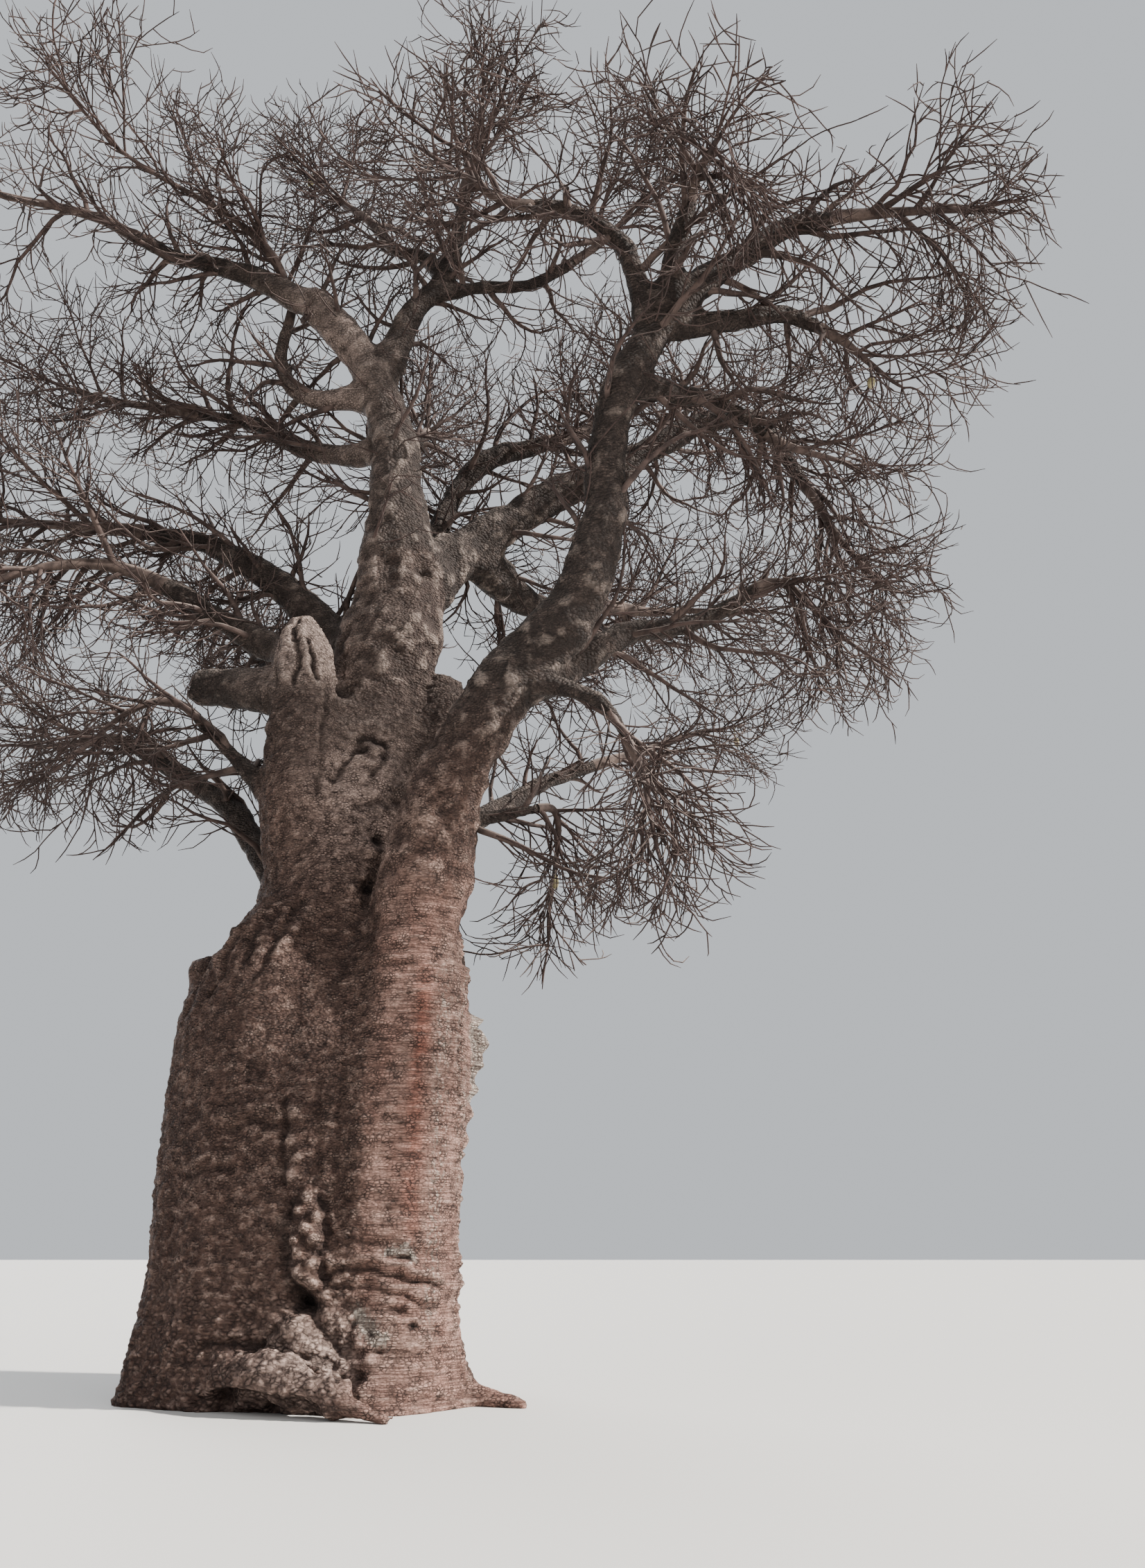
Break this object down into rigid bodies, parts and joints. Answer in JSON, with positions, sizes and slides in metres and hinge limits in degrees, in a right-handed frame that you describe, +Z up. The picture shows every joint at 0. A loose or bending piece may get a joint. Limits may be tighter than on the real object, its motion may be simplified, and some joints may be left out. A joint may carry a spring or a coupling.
{
  "type": "baobab tree",
  "caption": "Leafless baobab with a stout fused trunk, a broken stump, heavy tapering boughs and fine bare twigs, cut flat at ground level.",
  "frame": {"origin": "middle of the flat cut under the trunk, at ground level", "axes": "+Z up the trunk, +X to the right of the picture, +Y away from its camera; the heavy right limb leans to +X and -Y"},
  "size_m": [17.4239, 15.5332, 21.132],
  "materials": {
    "bark": "matte fibrous bark, folded and warty, red-brown on the trunk and mottled pale grey on the boughs",
    "twig": "matte dark grey-brown twigs with pale upper sides"
  },
  "bodies": {
    "root": {"trunk": "bark", "arch": "bark", "back_left": "bark", "back_low_left": "bark", "back_low_right": "bark", "back_right": "bark", "back_top": "bark", "behind": "bark", "central_stem_high": "bark", "central_stem_low": "bark", "cut_stub": "bark", "left_elbow": "bark", "left_high": "bark", "left_low": "bark", "left_middle": "bark", "left_upper": "bark", "low_inner": "bark", "low_right": "bark", "middle_bough": "bark", "middle_drop": "bark", "middle_rise": "bark", "right_crest": "bark", "right_hang": "bark", "right_inner": "bark", "right_limb_high": "bark", "right_limb_low": "bark", "right_side": "bark", "right_top": "bark", "rose": "bark", "top_fork_left": "bark", "top_fork_right": "bark", "top_left": "bark", "top_middle": "bark", "twigs_arch": "twig", "twigs_back_left": "twig", "twigs_back_low_left": "twig", "twigs_back_low_right": "twig", "twigs_back_right": "twig", "twigs_back_top": "twig", "twigs_behind": "twig", "twigs_left_elbow": "twig", "twigs_left_high": "twig", "twigs_left_low": "twig", "twigs_left_middle": "twig", "twigs_left_upper": "twig", "twigs_low_inner": "twig", "twigs_low_right": "twig", "twigs_middle_drop": "twig", "twigs_middle_rise": "twig", "twigs_right_crest": "twig", "twigs_right_hang": "twig", "twigs_right_inner": "twig", "twigs_right_side": "twig", "twigs_right_top": "twig", "twigs_rose": "twig", "twigs_top_fork_left": "twig", "twigs_top_fork_right": "twig", "twigs_top_left": "twig", "twigs_top_middle": "twig"}
  },
  "joints": []
}
